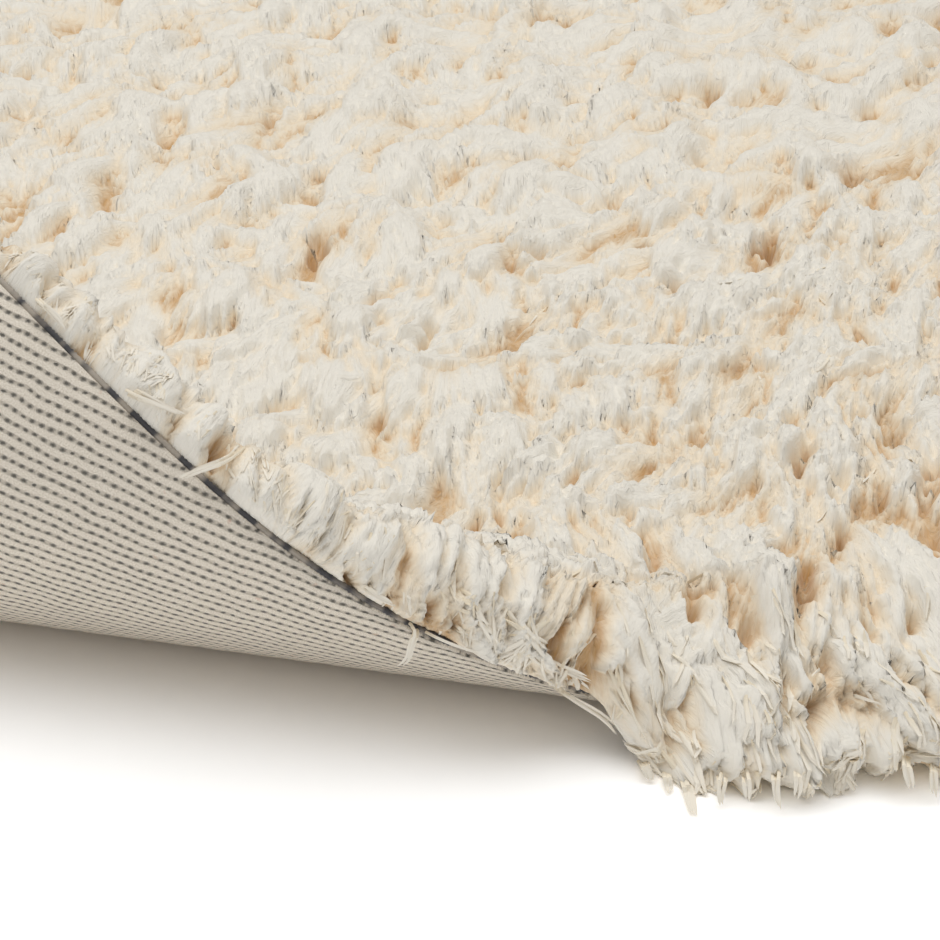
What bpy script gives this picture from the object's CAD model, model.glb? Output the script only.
import math
from collections import namedtuple

import bpy
import numpy as np
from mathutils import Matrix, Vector


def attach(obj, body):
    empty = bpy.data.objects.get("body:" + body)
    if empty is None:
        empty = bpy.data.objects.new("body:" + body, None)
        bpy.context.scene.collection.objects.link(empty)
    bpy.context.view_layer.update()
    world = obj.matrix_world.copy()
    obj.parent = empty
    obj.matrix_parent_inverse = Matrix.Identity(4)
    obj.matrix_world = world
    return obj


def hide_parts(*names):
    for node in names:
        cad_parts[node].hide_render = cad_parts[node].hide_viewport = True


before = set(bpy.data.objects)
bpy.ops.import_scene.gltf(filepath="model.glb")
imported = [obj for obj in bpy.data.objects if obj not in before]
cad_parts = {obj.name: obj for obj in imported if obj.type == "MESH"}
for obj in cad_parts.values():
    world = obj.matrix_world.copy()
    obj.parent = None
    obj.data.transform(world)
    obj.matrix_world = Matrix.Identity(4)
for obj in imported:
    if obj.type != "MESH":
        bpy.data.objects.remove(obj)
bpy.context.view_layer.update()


# --- The view -----------------------------------------------------------------------------------
# A close view with a long lens, down onto the rug's front edge from the left. The camera is made first,
# because much of the shag is placed by where it shows in the photograph, which is 940 pixels a side.
camera_place = Vector((-0.4005, -1.0602, 0.4728))
camera_azimuth = math.radians(-21.7)
camera_elevation = math.radians(25.87)
camera_lens_mm, camera_sensor_mm = 120, 36
photo_side = 940

camera_data = bpy.data.cameras.new("camera")
camera_data.lens = camera_lens_mm
camera_data.sensor_width = camera_sensor_mm
camera = bpy.data.objects.new("camera", camera_data)
camera.location = camera_place
camera.rotation_euler = (math.pi / 2 - camera_elevation, 0, camera_azimuth)
bpy.context.scene.collection.objects.link(camera)
bpy.context.scene.camera = camera
camera_turn = np.array(camera.rotation_euler.to_matrix())
focal_px = photo_side * camera_lens_mm / camera_sensor_mm


# --- Woven backing ------------------------------------------------------------------------------
# One cut sheet of coarse cream cloth with grey-brown yarn showing through as rows of dots. It lies flat but
# for its front left corner, which is curled up and over about one slanted fold line, without stretching.
rug_width, rug_depth = 0.73, 0.68
backing_thickness = 0.002
cloth_cells_across, cloth_cells_deep = 92, 86

# the fold line crosses the front edge this far from the left corner, at this angle to the edge
curl_start = 0.40
curl_skew = math.radians(36.8)
CurlStep = namedtuple("CurlStep", "distance lean_degrees")
curl = (
    CurlStep(0.00, 0),
    CurlStep(0.03, 4),
    CurlStep(0.06, 35),
    CurlStep(0.09, 53),
    CurlStep(0.12, 75),
    CurlStep(0.15, 104),
    CurlStep(0.18, 121),
    CurlStep(0.21, 128),
    CurlStep(0.26, 131),
)
up = np.array([0.0, 0.0, 1.0])
fold_point = np.array([curl_start - rug_width / 2, -rug_depth / 2])
across_fold = np.array([-math.sin(curl_skew), -math.cos(curl_skew), 0.0])


def lean_at(distance):
    """The sheet's lean at distances past the fold line."""
    steps = [step.distance for step in curl]
    return np.radians(np.interp(distance, steps, [step.lean_degrees for step in curl]))


# how far the sheet has run and risen at each half millimetre past the fold line
fine_step = 0.0005
fine_lean = lean_at(np.arange(fine_step / 2, curl_start, fine_step))
fine_distance = np.arange(len(fine_lean) + 1) * fine_step
fine_run = np.concatenate([[0], np.cumsum(np.cos(fine_lean))]) * fine_step
fine_rise = np.concatenate([[0], np.cumsum(np.sin(fine_lean))]) * fine_step


def past_fold(u, v):
    return (u - fold_point[0]) * across_fold[0] + (v - fold_point[1]) * across_fold[1]


def curled(u, v, height):
    """Where points of the flat rug, u to the right and v to the back, are once its corner is curled."""
    past = past_fold(u, v)
    lean = lean_at(past)
    run = np.where(past > 0, np.interp(past, fine_distance, fine_run), past)
    rise = np.interp(past, fine_distance, fine_rise)
    shift = run - past - np.sin(lean) * height
    lifted = rise + np.cos(lean) * height
    return np.stack([u + across_fold[0] * shift, v + across_fold[1] * shift, lifted], -1)


def turned(u, v, right, back):
    """Directions in the plane of the flat rug, turned as the curl turns the sheet at each point."""
    lean = lean_at(past_fold(u, v))
    across = right * across_fold[0] + back * across_fold[1]
    flat = np.stack([right, back, np.zeros_like(right)], -1) - across[..., None] * across_fold
    leaning = across_fold * np.cos(lean)[..., None] + up * np.sin(lean)[..., None]
    return flat + leaning * across[..., None]


def linear(hex_colour):
    """An sRGB hex colour as the linear values that Blender's shaders take."""
    channels = [int(hex_colour[i : i + 2], 16) / 255 for i in (1, 3, 5)]
    return (*[c / 12.92 if c <= 0.04045 else ((c + 0.055) / 1.055) ** 2.4 for c in channels], 1)


def add_node(tree, kind, *inputs, **settings):
    """Adds a shader node, with inputs for its sockets in order and settings for its properties and sockets.

    Each input is a value, another node's output or a node, which stands for its first output in use."""
    node = tree.nodes.new("ShaderNode" + kind)
    named = {}
    for name, value in settings.items():
        if hasattr(node, name):
            setattr(node, name, value)
        else:
            named[name.replace("_", " ")] = value
    in_use = [socket for socket in node.inputs if socket.enabled]
    for socket, source in [*zip(in_use, inputs), *((node.inputs[name], named[name]) for name in named)]:
        if isinstance(source, bpy.types.Node):
            source = [output for output in source.outputs if output.enabled][0]
        if isinstance(source, bpy.types.NodeSocket):
            tree.links.new(source, socket)
        else:
            socket.default_value = source
    return node


def new_material(name, **inputs):
    """A material with these inputs of its principled shader, its node tree and that shader."""
    material = bpy.data.materials.new(name)
    material.use_nodes = True
    shader = material.node_tree.nodes["Principled BSDF"]
    for socket, value in inputs.items():
        shader.inputs[socket.replace("_", " ")].default_value = value
    return material, material.node_tree, shader


def active_piece(name):
    """Names the object that an operator has just made, and its mesh."""
    piece = bpy.context.object
    piece.name = piece.data.name = name
    return piece


def flat_points(piece):
    """The mesh's points as an array, so that they can be placed together."""
    points = np.empty(len(piece.data.vertices) * 3)
    piece.data.vertices.foreach_get("co", points)
    return points.reshape(-1, 3)


def place_points(piece, points):
    piece.data.vertices.foreach_set("co", points.astype(np.float32).ravel())
    piece.data.update()


# Undyed cloth of coarse spun yarn, woven: matt and uneven cream, with a dark yarn that comes up once in each
# cell of the weave and shows as a dot. Each column of cells is shifted, so the dots run in slanted rows.
weave_column_mm, weave_row_mm, weave_shift = 3.0, 3.65, 0.25
dot_half_across_mm, dot_half_along_mm, dot_slant = 1.12, 0.78, 0.30
dot_fade_from, dot_size_least, dot_size_spread = 0.35, 0.75, 0.5
dot_strength, groove_strength, fleck_strength = 0.92, 0.40, 0.5
wander_mm, wanders_per_mm = 2.4, 0.09
fibres_per_mm, fibre_raggedness = 2.2, 0.9
flecks_per_mm, fleck_from, fleck_to = 0.16, 0.70, 0.78
weave_relief = 0.0005
# the output of a Mix node that gives a colour
mixed = 2

weave, tree, shader = new_material("undyed woven backing cloth", Roughness=0.92, Sheen_Weight=0.15,
                                   Specular_IOR_Level=0.2)
cloth_place = add_node(tree, "UVMap")
cloth_mm = add_node(tree, "Mapping", cloth_place, Scale=(rug_width * 1000, rug_depth * 1000, 1))
# the threads wander a little from their straight lines
wander = add_node(tree, "TexNoise", cloth_mm, Scale=wanders_per_mm, Detail=1.0)
wander_step = add_node(tree, "VectorMath", wander.outputs["Color"], (wander_mm, wander_mm, 0),
                       (-wander_mm / 2, -wander_mm / 2, 0), operation="MULTIPLY_ADD")
cloth_at = add_node(tree, "VectorMath", cloth_mm, wander_step, operation="ADD")
axes_mm = add_node(tree, "SeparateXYZ", cloth_at)

# the cell of the weave that a place is in, and where it is in the cell, in millimetres from its middle
column_at = add_node(tree, "Math", axes_mm.outputs["X"], weave_column_mm, operation="DIVIDE")
column = add_node(tree, "Math", column_at, operation="FLOOR")
row_straight = add_node(tree, "Math", axes_mm.outputs["Y"], weave_row_mm, operation="DIVIDE")
row_at = add_node(tree, "Math", column, weave_shift, row_straight, operation="MULTIPLY_ADD")
row = add_node(tree, "Math", row_at, operation="FLOOR")
in_cell = []
for cell_at, cell_mm in ((column_at, weave_column_mm), (row_at, weave_row_mm)):
    share = add_node(tree, "Math", cell_at, operation="FRACT")
    from_middle = add_node(tree, "Math", share, 0.5, operation="SUBTRACT")
    in_cell.append(add_node(tree, "Math", from_middle, cell_mm, operation="MULTIPLY"))
slanted = add_node(tree, "Math", in_cell[0], dot_slant, in_cell[1], operation="MULTIPLY_ADD")

# the dots: slanted ovals, each of its own size, with ragged edges
cell = add_node(tree, "CombineXYZ", column, row)
cell_noise = add_node(tree, "TexWhiteNoise", cell)
dot_size = add_node(tree, "Math", cell_noise, dot_size_spread, dot_size_least, operation="MULTIPLY_ADD")
squared = []
for offset, half_mm in ((in_cell[0], dot_half_across_mm), (slanted, dot_half_along_mm)):
    reach = add_node(tree, "Math", offset, half_mm, operation="DIVIDE")
    squared.append(add_node(tree, "Math", reach, 2.0, operation="POWER"))
reach_squared = add_node(tree, "Math", *squared, operation="ADD")
dot_reach = add_node(tree, "Math", reach_squared, operation="SQRT")
fibre = add_node(tree, "TexNoise", cloth_at, Scale=fibres_per_mm, Detail=3.0, Roughness=0.7)
ragged = add_node(tree, "Math", fibre, fibre_raggedness, -fibre_raggedness / 2, operation="MULTIPLY_ADD")
dot_edge = add_node(tree, "Math", dot_reach, ragged, operation="ADD")
dot = add_node(tree, "MapRange", dot_edge, dot_fade_from, dot_size, 1.0, 0.0, clamp=True)

# the groove between two rows
row_angle = add_node(tree, "Math", slanted, 2 * math.pi / weave_row_mm, operation="MULTIPLY")
row_wave = add_node(tree, "Math", row_angle, operation="COSINE")
groove = add_node(tree, "MapRange", row_wave, 0.1, 1.0, clamp=True)

# cream yarn, light and darker by its fibres, with a few reddish flecks
cream = add_node(tree, "ValToRGB", fibre)
stops = cream.color_ramp.elements
stops[0].position, stops[0].color = 0.3, linear("#c6baa7")
stops[1].position, stops[1].color = 0.68, linear("#f3ebde")
fleck_noise = add_node(tree, "TexNoise", cloth_at, Scale=flecks_per_mm, Detail=2.0)
fleck = add_node(tree, "MapRange", fleck_noise, fleck_from, fleck_to, clamp=True)
cloth_colour = cream
for where, strength, colour in ((fleck, fleck_strength, "#c98f6b"), (groove, groove_strength, "#8a8072"),
                                (dot, dot_strength, "#57554f")):
    share = add_node(tree, "Math", where, strength, operation="MULTIPLY")
    cloth_colour = add_node(tree, "Mix", share, cloth_colour, linear(colour), data_type="RGBA")
tree.links.new(cloth_colour.outputs[mixed], shader.inputs["Base Color"])

# the fibres stand up, and the grooves and the dots lie lower
fibre_rise = add_node(tree, "Math", fibre, 0.45, operation="MULTIPLY")
grooved = add_node(tree, "Math", fibre_rise, groove, operation="SUBTRACT")
dot_depth = add_node(tree, "Math", dot, 0.6, operation="MULTIPLY")
relief = add_node(tree, "Math", grooved, dot_depth, operation="SUBTRACT")
bump = add_node(tree, "Bump", Height=relief, Strength=0.9, Distance=weave_relief)
tree.links.new(bump.outputs[0], shader.inputs["Normal"])

bpy.ops.object.select_all(action="DESELECT")
bpy.ops.mesh.primitive_grid_add(x_subdivisions=cloth_cells_across, y_subdivisions=cloth_cells_deep, size=1)
backing_cloth = active_piece("backing_cloth")
points = flat_points(backing_cloth)
place_points(backing_cloth, curled(points[:, 0] * rug_width, points[:, 1] * rug_depth, 0))
thickness = backing_cloth.modifiers.new("thickness", "SOLIDIFY")
thickness.thickness = backing_thickness
thickness.offset = 1
thickness.use_even_offset = True
bpy.ops.object.modifier_apply(modifier=thickness.name)
backing_cloth.data.shade_smooth()
backing_cloth.data.materials.append(weave)
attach(backing_cloth, "root")
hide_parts("backing")


# --- Overlocked edge ----------------------------------------------------------------------------
# A dark grey yarn whipped round the cut edge with a paler one, turn beside turn. It stops the weave from
# fraying, and shows as a thin dark line between the backing and the shag.
edge_outward, edge_middle = 0.0006, 0.0015
edge_half_wide, edge_half_thick, edge_ridge = 0.0010, 0.0009, 0.00025
edge_turn, edge_ring, edge_sides = 0.0016, 0.00068, 8
edge_corner, edge_corner_steps = 0.002, 9
edge_floor_gap = 0.00005


def edge_route():
    """Flat places along the middle of the yarn, all round the rug; the way out at each; and how far along."""
    half_width, half_depth = rug_width / 2 + edge_outward, rug_depth / 2 + edge_outward
    places, ways = [], []
    for side, end, start_degrees in ((1, -1, -90), (1, 1, 0), (-1, 1, 90), (-1, -1, 180)):
        middle = np.array([side * (half_width - edge_corner), end * (half_depth - edge_corner)])
        for angle in np.radians(start_degrees + np.linspace(0, 90, edge_corner_steps)):
            way = np.array([math.cos(angle), math.sin(angle)])
            places.append(middle + way * edge_corner)
            ways.append(way)
    places, ways = np.array(places + places[:1]), np.array(ways + ways[:1])
    distances = np.concatenate([[0], np.cumsum(np.linalg.norm(np.diff(places, axis=0), axis=1))])
    count = round(distances[-1] / edge_ring)
    travelled = np.arange(count) * (distances[-1] / count)
    route = np.stack([np.interp(travelled, distances, places[:, i]) for i in (0, 1)], 1)
    way = np.stack([np.interp(travelled, distances, ways[:, i]) for i in (0, 1)], 1)
    return route, way / np.linalg.norm(way, axis=1)[:, None], travelled


route, way, travelled = edge_route()
round_angle = np.arange(edge_sides) / edge_sides * 2 * math.pi
ridge = edge_ridge * np.cos(2 * math.pi * travelled[:, None] / edge_turn + round_angle[None])
reach_out = (edge_half_wide + ridge) * np.cos(round_angle)
rise_up = np.maximum(edge_middle + (edge_half_thick + ridge) * np.sin(round_angle), edge_floor_gap)
rings = curled(route[:, :1] + way[:, :1] * reach_out, route[:, 1:] + way[:, 1:] * reach_out, rise_up)
# quads between each ring and the next, back round to the first
ring_points = np.arange(len(rings) * edge_sides).reshape(len(rings), edge_sides)
next_ring = np.roll(ring_points, -1, axis=0)
quads = np.stack([ring_points, np.roll(ring_points, -1, 1), np.roll(next_ring, -1, 1), next_ring], -1)
edge_mesh = bpy.data.meshes.new("edge_yarn")
edge_mesh.from_pydata(rings.reshape(-1, 3).tolist(), [], quads.reshape(-1, 4).tolist())
edge_mesh.update()
edge_mesh.shade_smooth()
travel = edge_mesh.attributes.new("travel", "FLOAT", "POINT")
travel.data.foreach_set("value", np.repeat(travelled, edge_sides).astype(np.float32))
edge_yarn = bpy.data.objects.new("edge_yarn", edge_mesh)
bpy.context.scene.collection.objects.link(edge_yarn)

# Spun polyester, wrapped tight: matt, and mottled along its length where the paler yarn comes up
mottles_per_metre = 105.0
overlock, tree, shader = new_material("spun polyester overlock yarn", Roughness=0.85, Sheen_Weight=0.25,
                                      Specular_IOR_Level=0.25)
travel_at = add_node(tree, "Attribute", attribute_name="travel")
stretch = add_node(tree, "Math", travel_at.outputs["Fac"], mottles_per_metre, operation="MULTIPLY")
mottle = add_node(tree, "TexNoise", stretch, noise_dimensions="1D", Scale=1.0, Detail=1.0)
overlock_colour = add_node(tree, "ValToRGB", mottle)
stops = overlock_colour.color_ramp.elements
stops[0].position, stops[0].color = 0.47, linear("#4a494b")
stops[1].position, stops[1].color = 0.56, linear("#a59c90")
tree.links.new(overlock_colour.outputs[0], shader.inputs["Base Color"])
edge_yarn.data.materials.append(overlock)
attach(edge_yarn, "root")
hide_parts("binding")


# --- Fleece -------------------------------------------------------------------------------------
# The dense body of the shag: acrylic yarn tufted through the backing, in tufts that lie over each other like
# thatch. Clumps, the tufts in them and short locks at the rim each raise a soft lobe of one flat surface, and
# partings sink it to its tan roots. Its rim is then bulged out, and it is curled with the backing.
root_height = backing_thickness + 0.0003
fleece_height = 0.027
lump_height, lump_size = 0.0035, 0.042
even_height = 0.007
body_depth = 0.0006
fleece_floor_gap = 0.0003
# the fleece's own places, a to the right and b to the back, run on down its rim for this length
wall_margin = 0.054
half_a, half_b = rug_width / 2 + wall_margin, rug_depth / 2 + wall_margin

# The rim, by the fleece's own length from its lower edge: how far it bulges out of the backing's edge where
# that lies on the floor and where it is lifted, its share of its height, and the way it faces, 0 being up
RimStep = namedtuple("RimStep", "length lying lifted share facing_degrees")
rim = (
    RimStep(0.000, 0.019, -0.0015, 0.02, 135),
    RimStep(0.011, 0.039, 0.0050, 0.11, 110),
    RimStep(0.022, 0.045, 0.0080, 0.37, 85),
    RimStep(0.036, 0.035, 0.0040, 0.73, 50),
    RimStep(0.064, 0.003, -0.0080, 1.00, 15),
    RimStep(0.124, -0.057, -0.0680, 1.00, 0),
)
rim_blend = 0.060
rim_ragged, rim_ragged_size, rim_ragged_from, rim_ragged_over = 0.0045, 0.010, 0.034, 0.02
# the lobes fade in over this length from the lower edge, and over a shorter one where the edge is lifted
bare_rim, bare_rim_less = 0.012, 0.007
# an edge counts as lifted from this height on; the sides bulge less where the curl starts to lift them
lifted_from, lifted_over = 0.012, 0.006
side_tuck, side_tuck_height = 0.6, 0.014
droop_length = 0.022

# How far the rim flops out along the front edge, as a share of the table above
Flop = namedtuple("Flop", "place share")
flops = (
    Flop(-0.10, 0.45), Flop(-0.070, 0.50), Flop(-0.055, 0.84), Flop(-0.04, 0.98), Flop(-0.02, 0.94),
    Flop(-0.01, 0.92), Flop(0.005, 1.08), Flop(0.02, 1.28), Flop(0.08, 1.20), Flop(0.15, 1.0),
)

# The partings that show in the photograph: pixels across and down, depth as a share, size in pixels
Parting = namedtuple("Parting", "x y depth size")
partings = (
    Parting(168, 132, 0.6, 16), Parting(213, 153, 0.6, 16), Parting(273, 111, 0.6, 14),
    Parting(297, 102, 0.5, 12), Parting(69, 90, 0.5, 14), Parting(30, 102, 0.5, 14),
    Parting(102, 12, 0.5, 12), Parting(318, 234, 1.0, 17), Parting(415, 192, 0.6, 14),
    Parting(18, 210, 0.5, 28), Parting(75, 231, 0.5, 16), Parting(51, 282, 0.5, 12),
    Parting(105, 195, 0.4, 18), Parting(539, 9, 0.6, 12), Parting(572, 18, 0.5, 11),
    Parting(710, 90, 1.0, 16), Parting(740, 96, 0.6, 12), Parting(572, 153, 0.6, 12),
    Parting(623, 192, 0.6, 13), Parting(509, 252, 0.6, 13), Parting(536, 249, 0.5, 12),
    Parting(647, 231, 0.6, 13), Parting(677, 276, 0.6, 13), Parting(698, 153, 0.6, 12),
    Parting(770, 237, 1.0, 17), Parting(758, 258, 0.6, 13), Parting(854, 168, 1.0, 14),
    Parting(929, 153, 1.0, 16), Parting(929, 66, 1.0, 16), Parting(836, 240, 0.8, 15),
    Parting(896, 246, 0.6, 13), Parting(890, 24, 0.6, 12), Parting(427, 332, 1.0, 17),
    Parting(225, 441, 1.0, 16), Parting(517, 335, 0.5, 13), Parting(560, 453, 0.5, 20),
    Parting(308, 344, 0.4, 16), Parting(351, 577, 1.0, 14), Parting(392, 595, 0.6, 11),
    Parting(433, 605, 0.6, 11), Parting(458, 623, 0.6, 11), Parting(502, 506, 0.5, 16),
    Parting(504, 631, 0.6, 13), Parting(652, 564, 0.6, 16), Parting(693, 608, 1.0, 19),
    Parting(547, 585, 0.5, 15), Parting(606, 615, 0.5, 15), Parting(839, 495, 1.0, 17),
    Parting(929, 481, 1.0, 19), Parting(806, 453, 0.6, 15), Parting(860, 414, 0.6, 15),
    Parting(893, 441, 0.6, 15), Parting(839, 541, 0.7, 16), Parting(808, 587, 1.0, 18),
    Parting(747, 634, 1.0, 19), Parting(734, 619, 0.6, 15), Parting(873, 625, 1.0, 18),
    Parting(912, 627, 1.0, 18), Parting(808, 569, 0.6, 15), Parting(877, 592, 0.6, 15),
    Parting(938, 548, 0.6, 16), Parting(819, 707, 1.0, 18), Parting(721, 699, 0.6, 16),
    Parting(808, 679, 0.6, 15), Parting(849, 703, 0.6, 15), Parting(884, 664, 0.6, 16),
    Parting(784, 694, 0.6, 15),
)
# a parting is longer along the tips than across them; its offsets are stretched by these
parting_along, parting_across, parting_reach, parting_soft = 0.72, 1.45, 0.72, 3
parting_depth = 0.012

# Which way the tips lie in the photograph: pixels across and down, degrees clockwise from its right
Sweep = namedtuple("Sweep", "x y degrees")
sweeps = (
    Sweep(60, 60, 128), Sweep(260, 60, 135), Sweep(480, 60, 140), Sweep(700, 60, 140), Sweep(880, 60, 130),
    Sweep(60, 260, 118), Sweep(240, 300, 102), Sweep(420, 260, 110), Sweep(620, 240, 140),
    Sweep(860, 260, 125), Sweep(300, 460, 98), Sweep(480, 450, 100), Sweep(660, 420, 125),
    Sweep(860, 440, 110), Sweep(480, 600, 95), Sweep(680, 600, 100), Sweep(860, 620, 90),
    Sweep(720, 740, 95), Sweep(900, 740, 85),
)
sweep_blend_px = 60


def drift(u, v, size, seed):
    """Smooth noise from -1 to 1 over the flat rug, with lumps of about the given size."""
    waves = np.random.default_rng(seed)
    total = np.zeros(np.broadcast(u, v).shape)
    for _ in range(7):
        angle, start = waves.uniform(0, 2 * math.pi), waves.uniform(0, 2 * math.pi)
        scale = waves.uniform(0.7, 1.5)
        total += np.sin((u * math.cos(angle) + v * math.sin(angle)) * math.pi * scale / size + start)
    return np.clip(total / 2.6, -1, 1)


def unit(vectors):
    return vectors / np.maximum(np.linalg.norm(vectors, axis=-1, keepdims=True), 1e-9)


def smooth_step(value):
    value = np.clip(value, 0, 1)
    return value * value * (3 - 2 * value)


def on_backing(a, b):
    """The flat backing's nearest place to each place of the fleece."""
    return np.clip(a, -rug_width / 2, rug_width / 2), np.clip(b, -rug_depth / 2, rug_depth / 2)


def height_of_edge(a, b):
    """How high the backing is lifted at its nearest place."""
    return curled(*on_backing(a, b), 0)[..., 2]


def lift_of_edge(a, b):
    """From 0 where the nearest edge lies on the floor to 1 where the curl lifts it."""
    return smooth_step((height_of_edge(a, b) - lifted_from) / lifted_over)


def fleece_flat(a, b, raised):
    """Places of the fleece before the curl, raised out of it by the given heights."""
    lengths = [step.length for step in rim]
    lifted = lift_of_edge(a, b)
    tucked = 1 - side_tuck * smooth_step(height_of_edge(a, b) / side_tuck_height)
    flopped = np.interp(a, [flop.place for flop in flops], [flop.share for flop in flops])
    rim_drift = rim_ragged * drift(a, b, rim_ragged_size, seed=6)
    flat, outward, share, upward, held = [], [], 1.0, 1.0, 1.0
    for at, half, bulge in ((a, rug_width / 2, tucked), (b, rug_depth / 2, np.where(b < 0, flopped, 1))):
        length = half + wall_margin - np.abs(at)
        lying_out = np.interp(length, lengths, [step.lying for step in rim]) * bulge
        lifted_out = np.interp(length, lengths, [step.lifted for step in rim])
        ragged = rim_drift * smooth_step((rim_ragged_from - length) / rim_ragged_over) * (1 - lifted)
        bulged = half + lying_out + ragged + (lifted_out - lying_out) * lifted
        inner = smooth_step((lengths[-1] - length) / rim_blend)
        facing = np.radians(np.interp(length, lengths, [step.facing_degrees for step in rim]))
        flat.append(np.sign(at) * (np.abs(at) + (bulged - np.abs(at)) * inner))
        outward.append(np.sign(at) * np.sin(facing))
        upward = upward * np.cos(facing)
        share = np.minimum(share, np.interp(length, lengths, [step.share for step in rim]))
        held = np.minimum(held, smooth_step(length / (bare_rim - bare_rim_less * lifted)))
    way = unit(np.stack([*outward, upward], -1)) * (raised * held)[..., None]
    height = fleece_height + lump_height * drift(a, b, lump_size, seed=4)
    return np.stack([*flat, root_height + share * height], -1) + way


def into_room(flat):
    """The fleece's places in the room. Past an edge of the backing that is near the floor it droops to it."""
    u, v, height = flat[..., 0], flat[..., 1], flat[..., 2]
    edge_u, edge_v = on_backing(u, v)
    past_edge = turned(edge_u, edge_v, u - edge_u, v - edge_v)
    lying = 1 - lift_of_edge(u, v)
    past_edge[..., 2] *= 1 - lying
    place = curled(edge_u, edge_v, height) + past_edge
    droop = smooth_step(np.hypot(u - edge_u, v - edge_v) / droop_length) * lying
    place[..., 2] -= height_of_edge(u, v) * droop
    return place


def fleece_frame(a, b, raised_at, step=0.0015):
    """Places on the fleece, the ways that a and b run there, and the way out of it, all in the room."""
    place = into_room(fleece_flat(a, b, raised_at(a, b)))
    along_a = unit(into_room(fleece_flat(a + step, b, raised_at(a + step, b))) - place)
    along_b = unit(into_room(fleece_flat(a, b + step, raised_at(a, b + step))) - place)
    return place, along_a, along_b, unit(np.cross(along_a, along_b))


def even(a, b):
    """The height of an even fleece, without its lobes."""
    return np.full(np.shape(a), even_height)


def in_photo(places):
    """Where places in the room show in the photograph, in its pixels from the top left."""
    local = (places - np.array(camera_place)) @ camera_turn
    return np.stack([photo_side / 2 + focal_px * local[..., 0] / -local[..., 2],
                     photo_side / 2 - focal_px * local[..., 1] / -local[..., 2]], -1)


def seen_at(a, b):
    """Where places of the fleece show in the photograph."""
    return in_photo(into_room(fleece_flat(a, b, even(a, b))))


def sweep_at(seen):
    """The way the tips lie at places on the photograph, as an angle clockwise from its right."""
    away = [(((seen - (sweep.x, sweep.y)) ** 2).sum(-1) + sweep_blend_px**2) ** 1.5 for sweep in sweeps]
    weights = 1 / np.stack(away, -1)
    swept = np.radians([sweep.degrees for sweep in sweeps])
    return np.arctan2((weights * np.sin(swept)).sum(-1), (weights * np.cos(swept)).sum(-1))


def parted(a, b, widening=1.0):
    """How deep in a parting each place is, from 0 to 1, and the way out of it on the photograph."""
    seen = seen_at(a, b)
    deepest, way = np.zeros(a.shape), np.zeros(a.shape + (2,))
    for parting in partings:
        offset = seen - (parting.x, parting.y)
        slit = sweep_at(np.array([parting.x, parting.y], float))
        along = (offset[..., 0] * math.cos(slit) + offset[..., 1] * math.sin(slit)) * parting_along
        across = (offset[..., 1] * math.cos(slit) - offset[..., 0] * math.sin(slit)) * parting_across
        reach = parting_reach * parting.size * widening
        share = parting.depth * np.exp(-(along**2 + across**2) / reach**2)
        way += share[..., None] * offset / (np.linalg.norm(offset, axis=-1)[..., None] + parting_soft)
        deepest = np.maximum(deepest, share)
    return deepest * (0.8 + 0.45 * drift(a, b, 0.006, seed=31)), way


# Towards the photograph's lower right the tufts are chunky: thicker, with plies that come apart. They become
# so from this many pixels on along this way across and down, over as many more.
chunky_way, chunky_from_px, chunky_over_px = (0.5, 0.8), 450, 450
# the tufts are short and stand out on the rim, and lie outwards over a wider band, by their length inwards
rim_from, rim_over = 0.078, 0.045
outwards_from, outwards_over = 0.085, 0.06


def chunky_at(a, b):
    """How chunky the tufts are, from 0 to 1."""
    return smooth_step((seen_at(a, b) @ chunky_way - chunky_from_px) / chunky_over_px)


def inward(a, b):
    """The length from the fleece's lower edge."""
    return np.minimum(half_a - np.abs(a), half_b - np.abs(b))


def at_rim(a, b):
    """From 0 over the rug to 1 at its rim, where that lies on the floor."""
    return smooth_step((rim_from - inward(a, b)) / rim_over) * (1 - lift_of_edge(a, b))


# The lobes: how far apart they stand, how far back and forward from there they reach, their half width and
# height, and the width of a ply
Lobes = namedtuple("Lobes", "spacing back front half_width height ply_width")
tuft_lobes = Lobes(0.0088, 0.014, 0.026, 0.0040, 0.0042, 0.0021)
clump_lobes = Lobes(0.0180, 0.018, 0.027, 0.0075, 0.0050, 0.0052)
lock_lobes = Lobes(0.0052, 0.005, 0.011, 0.0024, 0.0033, 0.0017)
ply_height, ply_ragged = 0.00045, 0.17
lobe_taper = 0.75


def stands(spacing, seed):
    """Places over the fleece on a hexagonal grid, a little uneven."""
    scatter = np.random.default_rng(seed)
    first_inward, last_inward = 0.005, 0.004
    along_a, along_b = [], []
    rows = np.arange(-half_b + first_inward, half_b - last_inward, spacing * math.sqrt(3) / 2)
    for number, row in enumerate(rows):
        shifted = -half_a + first_inward + (number % 2) * spacing / 2
        columns = np.arange(shifted, half_a - last_inward, spacing)
        along_a.append(columns)
        along_b.append(np.full(len(columns), row))
    along_a, along_b = np.concatenate(along_a), np.concatenate(along_b)
    return (along_a + scatter.normal(0, 0.33 * spacing, len(along_a)),
            along_b + scatter.normal(0, 0.33 * spacing, len(along_b)))


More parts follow.
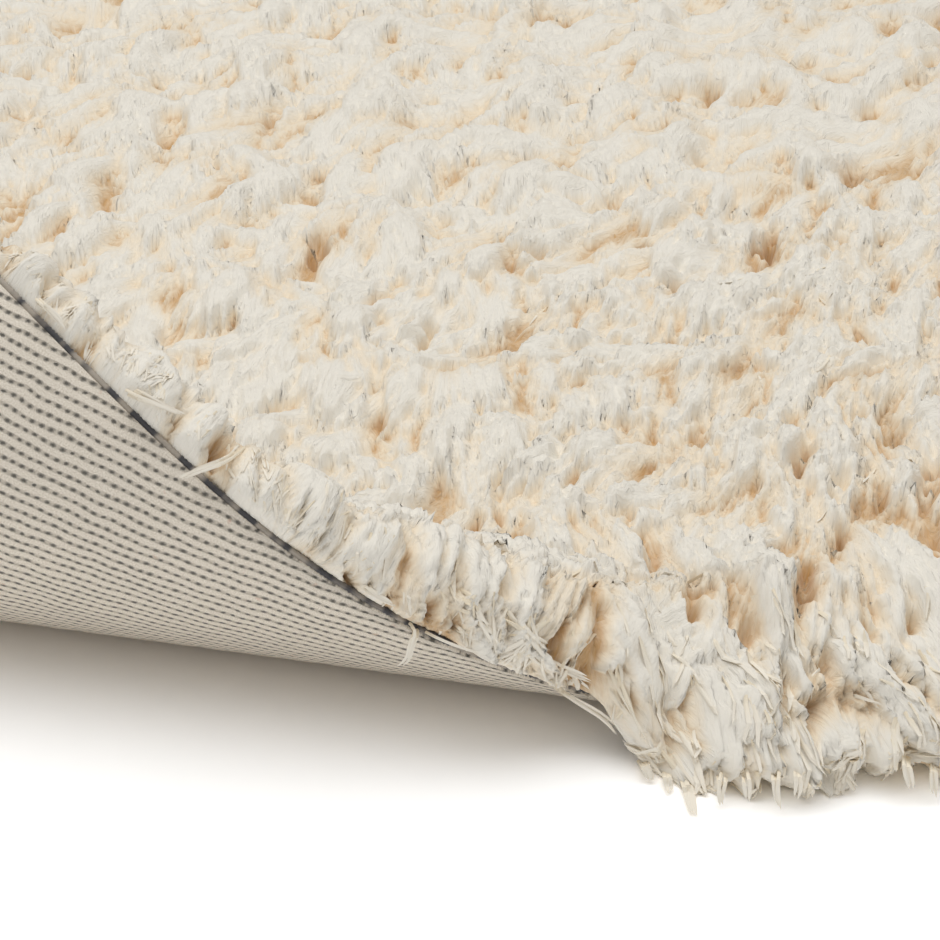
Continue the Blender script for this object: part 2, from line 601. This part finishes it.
def lies(at_a, at_b, seed):
    """Which way tufts lie: as on the photograph, away from the partings, and outwards at the rim.

    And their sizes, and their lengths as a share."""
    scatter = np.random.default_rng(seed)
    place, room_a, room_b, room_out = fleece_frame(at_a, at_b, even)
    angle = sweep_at(in_photo(place)) + 0.6 * drift(at_a, at_b, 0.045, seed=11)
    angle += 0.4 * drift(at_a, at_b, 0.018, seed=12)
    rim_share = at_rim(at_a, at_b)
    angle += scatter.normal(0, 0.27, len(at_a))
    # the way on the photograph, in the room
    on_photo = np.cos(angle)[:, None] * camera_turn[:, 0] - np.sin(angle)[:, None] * camera_turn[:, 1]
    share, away = parted(at_a, at_b, 1.4)
    on_photo = on_photo * (1 - share)[:, None]
    on_photo = on_photo + 0.8 * (away[:, :1] * camera_turn[:, 0] - away[:, 1:] * camera_turn[:, 1])
    # the way over the fleece that looks like it from the camera
    sight = -camera_turn[:, 2]
    facing = np.minimum((room_out * sight).sum(1), -0.3)
    on_fleece = on_photo - sight * ((on_photo * room_out).sum(1) / facing)[:, None]
    way = unit(np.stack([(on_fleece * room_a).sum(1), (on_fleece * room_b).sum(1)], 1))
    near_side = smooth_step((np.abs(at_a) - half_a + outwards_from) / outwards_over) * np.sign(at_a)
    near_end = smooth_step((np.abs(at_b) - half_b + outwards_from) / outwards_over) * np.sign(at_b)
    lying = 1 - 0.85 * lift_of_edge(at_a, at_b)
    near_rim = np.clip(np.hypot(near_side, near_end), 0, 1) * lying
    outwards = 1.2 * np.stack([near_side, near_end], 1) * lying[:, None]
    way = unit(way * (1 - 0.8 * near_rim)[:, None] + outwards)
    turn = scatter.normal(0, 0.65, len(at_a)) * rim_share
    way = np.stack([way[:, 0] * np.cos(turn) - way[:, 1] * np.sin(turn),
                    way[:, 0] * np.sin(turn) + way[:, 1] * np.cos(turn)], 1)
    size = 1 + 0.16 * drift(at_a, at_b, 0.030, seed=21) + scatter.normal(0, 0.17, len(at_a))
    return way, np.clip(size, 0.65, 1.4) * (1 - 0.3 * share), 1 - 0.56 * rim_share


tuft_a, tuft_b = stands(tuft_lobes.spacing, seed=5)
lie, tuft_size, tuft_length = lies(tuft_a, tuft_b, seed=6)
tuft_chunky = chunky_at(tuft_a, tuft_b)
tuft_size *= 1 + 0.25 * tuft_chunky
clump_a, clump_b = stands(clump_lobes.spacing, seed=7)
clump_lie, clump_size, clump_length = lies(clump_a, clump_b, seed=8)
clump_chunky = chunky_at(clump_a, clump_b)
# short locks come apart at the rim, and a little where the tufts are chunky
lock_a, lock_b = stands(lock_lobes.spacing, seed=9)
apart = np.maximum(at_rim(lock_a, lock_b), 0.6 * chunky_at(lock_a, lock_b))
lock_a, lock_b, apart = (each[apart > 0.1] for each in (lock_a, lock_b, apart))
lock_lie, lock_size, lock_length = lies(lock_a, lock_b, seed=10)

# the fleece's grid is fine between these places, where it shows, and coarser beyond
fine_cell, coarse_cell, coarsen_over = 0.00105, 0.0026, 0.06
fine_left, fine_right, fine_back = -0.29, 0.15, -0.06


def graded(half, near, far):
    """The grid's lines across one direction, fine from near to far."""
    lines = [-half]
    while lines[-1] < half:
        away = max(near - lines[-1], lines[-1] - far, 0)
        lines.append(lines[-1] + fine_cell + (coarse_cell - fine_cell) * min(away / coarsen_over, 1))
    lines = np.array(lines)
    return (lines + half) * (2 * half / (lines[-1] + half)) - half


lines_a, lines_b = graded(half_a, fine_left, fine_right), graded(half_b, -half_b, fine_back)
cells_a, cells_b = len(lines_a) - 1, len(lines_b) - 1
grid_a, grid_b = np.meshgrid(lines_a, lines_b, indexing="ij")


def lobed(kind, at_a, at_b, ways, sizes, lengths, chunky):
    """The height of the highest lobe at each place of the grid, and its number.

    A lobe is rounded across and ends in front, and its plies fan out along it and end unevenly."""
    raised, owner = np.zeros(grid_a.shape), np.zeros(grid_a.shape, int)
    reach = kind.front * 1.7
    each = enumerate(zip(at_a, at_b, ways, sizes, lengths, chunky))
    for number, (a, b, way, size, length, chunk) in each:
        window = (slice(*np.searchsorted(lines_a, (a - reach, a + reach))),
                  slice(*np.searchsorted(lines_b, (b - reach, b + reach))))
        off_a, off_b = grid_a[window] - a, grid_b[window] - b
        forward, across = (off_a * way[0] + off_b * way[1]) / length, off_b * way[0] - off_a * way[1]
        fan = 1 + 0.5 * np.clip(forward / kind.front, -0.5, 1)
        fanned = across / fan * (2 * math.pi / (kind.ply_width * (1 + 0.4 * chunk)))
        ply = 0.55 * np.sin(fanned + 2.4 * number) + 0.45 * np.sin(1.7 * fanned + 1.3 * number)
        aside = (across / (kind.half_width * size)) ** 2
        ahead = kind.front * size * (1.2 - lobe_taper * aside + ply_ragged * ply) - forward
        start = np.clip((forward + kind.back) / (kind.back + 0.8 * kind.front), 0, 1) ** 0.8
        rise = start * smooth_step(ahead / (kind.front * 0.22))
        crown = np.sqrt(np.clip(1 - aside, 0, 1))
        ply_rise = ply_height * (1 + chunk) * ply * np.minimum(2 * crown, 1)
        lobe = (kind.height * size * crown + ply_rise) * rise
        owner[window] = np.where(lobe > raised[window], number, owner[window])
        raised[window] = np.maximum(raised[window], lobe)
    return raised, owner


lobes, owner = lobed(tuft_lobes, tuft_a, tuft_b, lie, tuft_size, tuft_length,
                     tuft_chunky + 0.6 * at_rim(tuft_a, tuft_b))
clumps, _ = lobed(clump_lobes, clump_a, clump_b, clump_lie, clump_size, clump_length, clump_chunky)
locks, _ = lobed(lock_lobes, lock_a, lock_b, lock_lie, lock_size * (0.4 + 0.6 * apart), lock_length + 0.3,
                 0 * apart)
chunky_grid, rim_grid = chunky_at(grid_a, grid_b), at_rim(grid_a, grid_b)
sunk, _ = parted(grid_a, grid_b)
sunk *= 1 - 0.35 * rim_grid
raised_grid = lobes * (1 + 0.3 * chunky_grid) + clumps * (1 - 0.35 * rim_grid) + locks - parting_depth * sunk
fleece_points = fleece_flat(grid_a, grid_b, raised_grid - body_depth)

# how far each place crowns, from about 0 down between the tufts to 1 on them, for the colour
crowned_grid = -0.12 + 0.5 * lobes / tuft_lobes.height + 0.55 * clumps / clump_lobes.height - 0.7 * sunk
crowned_grid -= 0.31 * chunky_grid - 0.32 * rim_grid
crowned_grid += 0.35 * (locks / lock_lobes.height - 0.45) * np.maximum(rim_grid, 0.6 * chunky_grid)
crowned_grid = np.maximum(crowned_grid, 0.10 + 0.15 * rim_grid)

# Felted acrylic yarn: quite matt, cream where the tufts crown and tan down between them, with fibres combed
# along each tuft, which are drawn coarser than real ones so that they show. Their number is for each metre.
fibres_along, fibres_across, fibre_relief = 55, 380, 0.0012
felted, tree, shader = new_material("felted acrylic shag body", Roughness=1.0, Specular_IOR_Level=0.05,
                                    Sheen_Weight=0.3, Sheen_Roughness=0.5, Sheen_Tint=linear("#fff4e4"))
crowned_at = add_node(tree, "Attribute", attribute_name="crowned")
combed_uv = add_node(tree, "UVMap", uv_map="combed")
combed_scale = add_node(tree, "Mapping", combed_uv, Scale=(fibres_along, fibres_across, 1))
fibres = add_node(tree, "TexNoise", combed_scale, noise_dimensions="2D", Scale=1.0, Detail=4.0,
                  Roughness=0.68)
lowered = add_node(tree, "Math", crowned_at.outputs["Fac"], 0.25, operation="SUBTRACT")
uneven = add_node(tree, "Math", fibres, 0.5, lowered, operation="MULTIPLY_ADD")
felt_colour = add_node(tree, "ValToRGB", uneven)
stops = felt_colour.color_ramp.elements
stops[0].position, stops[0].color = 0.0, linear("#c39c6a")
stops[1].position, stops[1].color = 0.8, linear("#e9e4d9")
stops.new(0.35).color = linear("#e8dac3")
tree.links.new(felt_colour.outputs[0], shader.inputs["Base Color"])
bump = add_node(tree, "Bump", Height=fibres, Strength=0.9, Distance=fibre_relief)
tree.links.new(bump.outputs[0], shader.inputs["Normal"])


def pile_piece(piece, material):
    """Gives a piece of the shag its material and its place in the model."""
    piece.data.materials.append(material)
    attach(piece, "root")
    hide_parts("pile")


# the fleece is in pieces, side by side
fleece_pieces = 4
borders = np.rint(np.linspace(0, cells_a, fleece_pieces + 1)).astype(int)
for number in range(fleece_pieces):
    first, last = int(borders[number]), int(borders[number + 1])
    bpy.ops.object.select_all(action="DESELECT")
    bpy.ops.mesh.primitive_grid_add(x_subdivisions=last - first, y_subdivisions=cells_b, size=1)
    fleece = active_piece(f"fleece_{number + 1}")
    points = flat_points(fleece)
    at_a = first + np.rint((points[:, 0] + 0.5) * (last - first)).astype(int)
    at_b = np.rint((points[:, 1] + 0.5) * cells_b).astype(int)
    points = into_room(fleece_points[at_a, at_b])
    points[:, 2] = np.maximum(points[:, 2], fleece_floor_gap)
    place_points(fleece, points)
    crowned = fleece.data.attributes.new("crowned", "FLOAT", "POINT")
    crowned.data.foreach_set("value", crowned_grid[at_a, at_b].astype(np.float32))
    fleece.data.shade_smooth()
    # a map of the way each tuft is combed: metres along and across it, from a place of its own
    corner_points = np.zeros(len(fleece.data.loops), np.int32)
    fleece.data.loops.foreach_get("vertex_index", corner_points)
    face_points = corner_points.reshape(-1, 4)
    owners = owner[at_a[face_points[:, 0]], at_b[face_points[:, 0]]][:, None]
    off_a = lines_a[at_a[face_points]] - tuft_a[owners]
    off_b = lines_b[at_b[face_points]] - tuft_b[owners]
    way_a, way_b = lie[owners, 0], lie[owners, 1]
    combed = np.stack([off_a * way_a + off_b * way_b + owners * 0.37 % 3,
                       off_b * way_a - off_a * way_b + owners * 0.73 % 3], -1)
    combed_map = fleece.data.uv_layers.new(name="combed")
    combed_map.data.foreach_set("uv", combed.astype(np.float32).ravel())
    pile_piece(fleece, felted)


# --- Shag ---------------------------------------------------------------------------------------
# Loose strands of the cream acrylic yarn. Those of a tuft are combed over its lobe, bridge the dip in front
# of it and end blunt. They stand mostly on the rim and at its foot, where they hang down to the floor.
strand_length = 0.015
strand_steps = 8
strand_rings = np.array([0, 0.30, 0.62, 0.92, 1.0])
strand_profile = np.array([0.75, 1.0, 0.95, 0.62])
strand_flatness = 0.12
# the strands of a tuft at the rim's foot, on the rim and, for a few, where it is chunky
foot_strands, rim_strands, chunky_strands = 5, 1.6, 0.05
foot_from, foot_over = 0.034, 0.012
# the roots stand this far along the tuft, and start this deep in the fleece
strand_back, root_depth = 0.010, 0.0007
least_length, overhang_lying, overhang_lifted = 0.003, 0.014, 0.003
# how far the strands stand off the fleece over a dip, and how far their tips do at the rim
bridge_gap, bridge_gap_chunky, rim_tip_stand = 0.0003, 0.0007, 0.0022
strand_floor_gap, corner_floor_gap = 0.0012, 0.0004

# Soft acrylic shag yarn: quite matt, cream at the tip and warmer towards the root, with fine streaks of fibre
yarn, tree, shader = new_material("soft acrylic shag yarn", Roughness=1.0, Specular_IOR_Level=0.05)
along_at = add_node(tree, "Attribute", attribute_name="along")
tone_at = add_node(tree, "Attribute", attribute_name="tone")
root_to_tip = add_node(tree, "ValToRGB", along_at.outputs["Fac"])
stops = root_to_tip.color_ramp.elements
stops[0].position, stops[0].color = 0.0, linear("#e8dbc2")
stops[1].position, stops[1].color = 0.6, linear("#ede6d8")
stops.new(0.25).color = linear("#ebe1cd")
yarn_uv = add_node(tree, "UVMap", uv_map="yarn")
streak_scale = add_node(tree, "Mapping", yarn_uv, Scale=(14.0, 2.0, 1))
streak = add_node(tree, "TexNoise", streak_scale, noise_dimensions="2D", Scale=1.0, Detail=2.0)
streak_tone = add_node(tree, "MapRange", streak, 0.3, 0.7, 0.95, 1.0, clamp=True)
tone_gain = add_node(tree, "Math", tone_at.outputs["Fac"], 0.05, 0.95, operation="MULTIPLY_ADD")
gain = add_node(tree, "Math", streak_tone, tone_gain, operation="MULTIPLY")
gain_colour = add_node(tree, "CombineColor", gain, gain, gain)
yarn_colour = add_node(tree, "Mix", 1.0, root_to_tip, gain_colour, data_type="RGBA", blend_type="MULTIPLY")
tree.links.new(yarn_colour.outputs[mixed], shader.inputs["Base Color"])


def sampled(grid, a, b):
    """A grid's values between its points."""
    i = np.clip(np.interp(a, lines_a, np.arange(cells_a + 1)), 0, cells_a - 1e-6)
    j = np.clip(np.interp(b, lines_b, np.arange(cells_b + 1)), 0, cells_b - 1e-6)
    low_i, low_j = i.astype(int), j.astype(int)
    s, t = i - low_i, j - low_j
    low = grid[low_i, low_j] * (1 - t) + grid[low_i, low_j + 1] * t
    high = grid[low_i + 1, low_j] * (1 - t) + grid[low_i + 1, low_j + 1] * t
    return low * (1 - s) + high * s


def raised_at(a, b):
    return sampled(raised_grid, a, b)


def strand_piece(name, line, top, width, along, tone):
    """One joined mesh of blunt three-sided strands, from their middle lines (strand, ring, 3)."""
    tangent = unit(np.gradient(line, axis=1))
    side = unit(np.cross(top, tangent))
    top = np.cross(tangent, side)
    rings = line.shape[1] - 1
    side, top = side[:, :-1], top[:, :-1]
    width = (width[:, None] * np.interp(along[:-1], strand_rings[:-1], strand_profile))[..., None]
    shape = np.stack([line[:, :-1] + side * width / 2, line[:, :-1] + top * width * strand_flatness,
                      line[:, :-1] - side * width / 2], 2)
    # each strand has quads along it, three triangles at its tip and one at its root
    each = 3 * rings + 1
    points = np.concatenate([shape.reshape(len(line), -1, 3), line[:, -1:]], 1)
    points[..., 2] = np.maximum(points[..., 2], corner_floor_gap)
    faces, uv_one = [], []
    for k in range(rings - 1):
        for j in range(3):
            faces.append([3 * k + j, 3 * k + (j + 1) % 3, 3 * k + 3 + (j + 1) % 3, 3 * k + 3 + j])
            uv_one += [(j / 3, k / rings), ((j + 1) / 3, k / rings)]
            uv_one += [((j + 1) / 3, (k + 1) / rings), (j / 3, (k + 1) / rings)]
    last = (rings - 1) / rings
    for j in range(3):
        faces.append([3 * (rings - 1) + j, 3 * (rings - 1) + (j + 1) % 3, each - 1])
        uv_one += [(j / 3, last), ((j + 1) / 3, last), ((j + 0.5) / 3, 1)]
    faces.append([2, 1, 0])
    uv_one += [(0, 0)] * 3
    loops, sizes = np.array(sum(faces, [])), np.array([len(face) for face in faces])
    count = len(line)
    mesh = bpy.data.meshes.new(name)
    mesh.vertices.add(count * each)
    mesh.vertices.foreach_set("co", points.astype(np.float32).ravel())
    mesh.loops.add(count * len(loops))
    corners = loops[None] + np.arange(count)[:, None] * each
    mesh.loops.foreach_set("vertex_index", corners.astype(np.int32).ravel())
    mesh.polygons.add(count * len(sizes))
    starts = np.concatenate([[0], np.cumsum(np.tile(sizes, count))[:-1]])
    mesh.polygons.foreach_set("loop_start", starts.astype(np.int32))
    mesh.update(calc_edges=True)
    # a map along and round each strand, with a place of its own for each
    shifts = np.stack([np.arange(count) * 0.37 % 40, np.arange(count) * 0.73 % 40], 1)
    uv_map = mesh.uv_layers.new(name="yarn")
    uv_map.data.foreach_set("uv", (np.array(uv_one)[None] + shifts[:, None]).astype(np.float32).ravel())
    along = np.concatenate([np.repeat(along[:-1], 3), along[-1:]])
    for kind, values in (("along", np.tile(along, count)), ("tone", np.repeat(np.clip(tone, 0, 1), each))):
        attribute = mesh.attributes.new(kind, "FLOAT", "POINT")
        attribute.data.foreach_set("value", values.astype(np.float32))
    mesh.shade_flat()
    piece = bpy.data.objects.new(name, mesh)
    bpy.context.scene.collection.objects.link(piece)
    pile_piece(piece, yarn)


def comb(name, tufts, seed, along_rim, fine_width, coarse_width):
    """Combs the strands of the given tufts over the fleece, with a share of those along the rim."""
    chance = np.random.default_rng(seed)
    at_foot = smooth_step((foot_from - inward(tuft_a, tuft_b)) / foot_over)
    strands = chunky_strands * tuft_chunky
    strands += along_rim * (foot_strands * at_foot + rim_strands * at_rim(tuft_a, tuft_b))
    strands += chance.uniform(-0.5, 0.5, len(tuft_a))
    tuft = np.repeat(tufts, np.rint(strands)[tufts].astype(int))
    # where each one's root is in its tuft; a parting has none
    across = chance.uniform(-1, 1, len(tuft))
    back = chance.uniform(0.0, strand_back, len(tuft)) * tuft_size[tuft] * tuft_length[tuft]
    way, size = lie[tuft], tuft_size[tuft]
    half_width = tuft_lobes.half_width
    a = tuft_a[tuft] + way[:, 0] * back - way[:, 1] * across * half_width * size * 0.95
    b = tuft_b[tuft] + way[:, 1] * back + way[:, 0] * across * half_width * size * 0.95
    ahead = strand_length * 0.6
    deepest = np.maximum(sampled(sunk, a, b), sampled(sunk, a + way[:, 0] * ahead, b + way[:, 1] * ahead))
    stays = deepest < chance.uniform(0.35, 0.6, len(tuft))
    tuft, across, way, size, a, b = (part[stays] for part in (tuft, across, way, size, a, b))
    coarse, count = tuft_chunky[tuft], len(tuft)
    heading = np.arctan2(way[:, 1], way[:, 0]) - across * (0.25 + 0.25 * coarse)
    heading = heading + chance.normal(0, 0.07, count)
    bend = chance.normal(0, 13, len(tuft_a))[tuft] + chance.normal(0, 5, count)
    length = strand_length * size * (0.25 + 0.75 * tuft_length[tuft]) * chance.uniform(0.65, 1.05, count)
    # a lifted edge keeps its strands above the overlocking, and one on the floor lets them hang over it
    lifted = lift_of_edge(a, b)
    overhang = overhang_lying * (1 - lifted) * chance.uniform(0.5, 1.1, count)
    overhang = overhang + lifted * chance.uniform(-overhang_lifted, overhang_lifted, count)
    length = np.minimum(length, np.maximum(inward(a, b), least_length) + overhang)
    step = length / strand_steps
    # how far each one stands off the fleece, and its tip more, most of all at the rim
    stand = chance.uniform(-0.0002, 0.0001, count)
    tip_stand = chance.uniform(0.0, 0.0002, count) + coarse * chance.uniform(-0.0002, 0.0005, count)
    tip_stand += at_rim(a, b) * chance.uniform(0, rim_tip_stand, count)
    places, outs, level = [], [], None
    for k in range(strand_steps + 1):
        t = k / strand_steps
        past_a = np.sign(a) * np.maximum(np.abs(a) - half_a, 0)
        past_b = np.sign(b) * np.maximum(np.abs(b) - half_b, 0)
        on_a, on_b = np.clip(a, -half_a, half_a), np.clip(b, -half_b, half_b)
        place, _, _, out = fleece_frame(on_a, on_b, raised_at)
        # it bridges a dip, sinking slowly from the level that it has reached
        surface = fleece_flat(on_a, on_b, raised_at(on_a, on_b))[..., 2]
        level = surface if level is None else np.maximum(surface, level - step * (0.5 + 1.2 * t))
        lean = lean_at(past_fold(on_a, on_b))[..., None]
        out_of_sheet = up * np.cos(lean) - across_fold * np.sin(lean)
        bridged = np.minimum(level - surface, bridge_gap + bridge_gap_chunky * coarse)
        stand_off = bridged[:, None] * out_of_sheet
        hang = turned(on_a, on_b, past_a, past_b) * 0.65 - up * (np.hypot(past_a, past_b) * 0.75)[:, None]
        off = stand * min(1, 3 * t) + tip_stand * t**2 - root_depth * (1 - t)
        places.append(place + stand_off + hang + out * off[:, None])
        outs.append(out)
        # it slows at a parting, so that it doesn't close it
        paced = step * (1 - 0.9 * smooth_step((sampled(sunk, a, b) - 0.35) / 0.3))
        a = a + np.cos(heading) * paced
        b = b + np.sin(heading) * paced
        heading = heading + bend * step
    places, outs = np.stack(places, 1), np.stack(outs, 1)
    places[..., 2] = np.maximum(places[..., 2], strand_floor_gap)
    at = np.clip(strand_rings * strand_steps, 0, strand_steps - 1e-6)
    low, part = at.astype(int), (at % 1)[None, :, None]
    line = places[:, low] * (1 - part) + places[:, low + 1] * part
    width = (fine_width + (coarse_width - fine_width) * coarse) * chance.uniform(0.7, 1.3, count)
    tone = 0.5 + 0.18 * chance.normal(0, 1, len(tuft_a))[tuft] + chance.normal(0, 0.22, count)
    strand_piece(name, line, unit(outs[:, low]), width, strand_rings, tone)


# many fine strands where the photograph looks, and fewer and thicker ones beyond it
frame_margin = 40
tuft_seen = seen_at(tuft_a, tuft_b)
seen_closely = ((tuft_seen > -frame_margin) & (tuft_seen < photo_side + frame_margin)).all(1)
order = np.lexsort((tuft_b, ~seen_closely))
close, beyond = order[seen_closely[order]], order[~seen_closely[order]]
for number, tufts in enumerate(np.array_split(close, 3)):
    comb(f"shag_close_{number + 1}", tufts, 100 + number, 1.0, 0.0007, 0.0016)
for number, tufts in enumerate(np.array_split(beyond, 2)):
    comb(f"shag_beyond_{number + 1}", tufts, 110 + number, 0.45, 0.0018, 0.0024)


# --- Stray locks --------------------------------------------------------------------------------
# The same yarn where it has come loose: locks that fall over the overlocked edge of the curl, and plies that
# hang from the rim down to the floor. Each follows its path on the photograph, from pixel to pixel.
stray_rings = np.linspace(0, 1, 9)
stray_edge_height, stray_edge_places = 0.004, 600
# a stray lock starts inside the pile, and comes out towards the camera
stray_inside, stray_nearer, stray_uneven = 0.004, 0.013, 0.0015
stray_floor_gap = 0.0014
# how far out of the backing's edge a lock crosses the front of the rug, its plies, how many pixels they
# spread over, the width of one and the path
Stray = namedtuple("Stray", "out plies spread width path")
strays = (
    Stray(0.0, 7, 6, 0.0009, ((112, 380), (132, 394), (158, 404), (187, 416))),
    Stray(0.0, 6, 5, 0.0009, ((246, 446), (226, 461), (201, 469), (176, 479))),
    Stray(0.0, 3, 4, 0.0010, ((394, 612), (418, 628), (420, 636), (407, 645), (413, 657), (397, 668))),
    Stray(0.0, 1, 1, 0.0009, ((404, 620), (440, 640), (482, 655))),
    Stray(0.0, 6, 6, 0.0010, ((518, 650), (545, 660), (592, 682))),
    Stray(0.0, 4, 4, 0.0010, ((524, 661), (562, 692), (590, 709), (613, 722), (620, 740))),
    Stray(0.0, 5, 5, 0.0009, ((30, 292), (52, 312), (66, 330))),
    Stray(0.0, 5, 5, 0.0009, ((352, 574), (372, 592), (396, 606))),
    Stray(0.0, 5, 6, 0.0009, ((440, 618), (462, 632), (490, 645))),
    Stray(0.030, 3, 7, 0.0014, ((680, 765), (688, 792), (697, 822))),
    Stray(0.020, 3, 6, 0.0014, ((640, 755), (646, 768), (652, 783))),
    Stray(0.040, 3, 6, 0.0012, ((719, 764), (721, 788), (723, 807))),
    Stray(0.050, 3, 6, 0.0012, ((774, 762), (777, 790), (779, 811))),
    Stray(0.047, 2, 5, 0.0012, ((745, 766), (747, 790), (748, 802))),
    Stray(0.050, 2, 5, 0.0012, ((797, 762), (798, 786), (796, 799))),
    Stray(0.026, 2, 5, 0.0014, ((664, 765), (668, 778), (670, 794))),
    Stray(0.056, 3, 6, 0.0012, ((905, 750), (909, 776), (912, 792))),
    Stray(0.056, 3, 6, 0.0012, ((931, 752), (934, 780), (936, 799))),
)


def stray_line(stray, chance):
    """The middle lines of a stray lock's plies, from inside the pile to a little before it."""
    path = np.array(stray.path, float)
    # its distance from the camera is that of the front edge where the path crosses it
    along_edge = np.linspace(-rug_width / 2, rug_width / 2, stray_edge_places)
    out_of_edge = np.full(stray_edge_places, -rug_depth / 2 - stray.out)
    edge = into_room(np.stack([along_edge, out_of_edge, np.full(stray_edge_places, stray_edge_height)], -1))
    crossing = path[len(path) // 2]
    anchor = edge[np.linalg.norm(in_photo(edge) - crossing, axis=1).argmin()]
    depth = -(anchor - np.array(camera_place)) @ camera_turn[:, 2]
    travelled_px = np.concatenate([[0], np.cumsum(np.linalg.norm(np.diff(path, axis=0), axis=1))])
    starts = chance.uniform(0, 0.2, (stray.plies, 1))
    ends = (starts + (chance.uniform(0.82, 1.0, (stray.plies, 1)) - starts) * stray_rings) * travelled_px[-1]
    lines = np.stack([np.interp(ends, travelled_px, path[:, i]) for i in (0, 1)], -1)
    # rounded where the path turns
    for _ in range(2):
        lines[:, 1:-1] = 0.25 * lines[:, :-2] + 0.5 * lines[:, 1:-1] + 0.25 * lines[:, 2:]
    heading = unit(np.gradient(lines, axis=1))
    across = np.stack([-heading[..., 1], heading[..., 0]], -1)
    side = np.linspace(-0.5, 0.5, stray.plies)[:, None] if stray.plies > 1 else np.zeros((1, 1))
    swing = chance.normal(0, 0.22, (stray.plies, 1))
    wave = swing * np.sin(stray_rings * 5 + chance.uniform(0, 6, (stray.plies, 1)))
    lines += across * ((side + wave) * stray.spread * (1.1 - 0.45 * stray_rings))[..., None]
    rays = np.stack([(lines[..., 0] - photo_side / 2) / focal_px, (photo_side / 2 - lines[..., 1]) / focal_px,
                     np.full(lines.shape[:2], -1.0)], -1) @ camera_turn.T
    nearer = -stray_inside + stray_nearer * smooth_step(stray_rings / 0.4)
    nearer = nearer + chance.uniform(0, stray_uneven, (stray.plies, 1))
    to_floor = (stray_floor_gap - camera_place[2]) / rays[..., 2]
    return np.array(camera_place) + rays * np.minimum(depth - nearer, to_floor)[..., None]


chance = np.random.default_rng(140)
stray_lines = np.concatenate([stray_line(stray, chance) for stray in strays])
stray_width = np.concatenate([np.full(stray.plies, stray.width) for stray in strays])
stray_tone = chance.uniform(0.3, 1.0, len(stray_lines))
toward_camera = np.broadcast_to(camera_turn[:, 2], stray_lines.shape)
strand_piece("stray_locks", stray_lines, toward_camera, stray_width, stray_rings, stray_tone)


# --- Floor and light ----------------------------------------------------------------------------
# A plain white studio floor, one large soft lamp straight above, and an even pale surround. The floor's
# colour is a little over 1, so that it comes out as the clear white that it is in the photograph.
floor_side, floor_white = 12, 1.2
lamp_place, lamp_target = Vector((-0.2, 0.02, 2.2)), Vector((-0.2, 0.0, 0))
lamp_side, lamp_watts = 2.7, 45
surround_strength = 0.40
light_bounces = 12

bpy.ops.mesh.primitive_plane_add(size=floor_side)
floor = active_piece("floor")
white_floor = bpy.data.materials.new("white studio floor")
white_floor.use_nodes = True
floor_paint = add_node(white_floor.node_tree, "BsdfDiffuse", (*[floor_white] * 3, 1))
floor_output = white_floor.node_tree.nodes["Material Output"]
white_floor.node_tree.links.new(floor_paint.outputs[0], floor_output.inputs["Surface"])
floor.data.materials.append(white_floor)

lamp_data = bpy.data.lights.new("overhead lamp", "AREA")
lamp_data.shape = "SQUARE"
lamp_data.size = lamp_side
lamp_data.energy = lamp_watts
lamp = bpy.data.objects.new("overhead lamp", lamp_data)
lamp.location = lamp_place
lamp.rotation_euler = (lamp_target - lamp_place).to_track_quat("-Z", "Y").to_euler()
bpy.context.scene.collection.objects.link(lamp)

world = bpy.data.worlds.new("pale surround")
world.use_nodes = True
world.node_tree.nodes["Background"].inputs["Color"].default_value = (1, 1, 1, 1)
world.node_tree.nodes["Background"].inputs["Strength"].default_value = surround_strength
bpy.context.scene.world = world
bpy.context.scene.view_settings.view_transform = "Standard"
# light goes on from tuft to tuft for long in pale wool
bpy.context.scene.cycles.diffuse_bounces = light_bounces
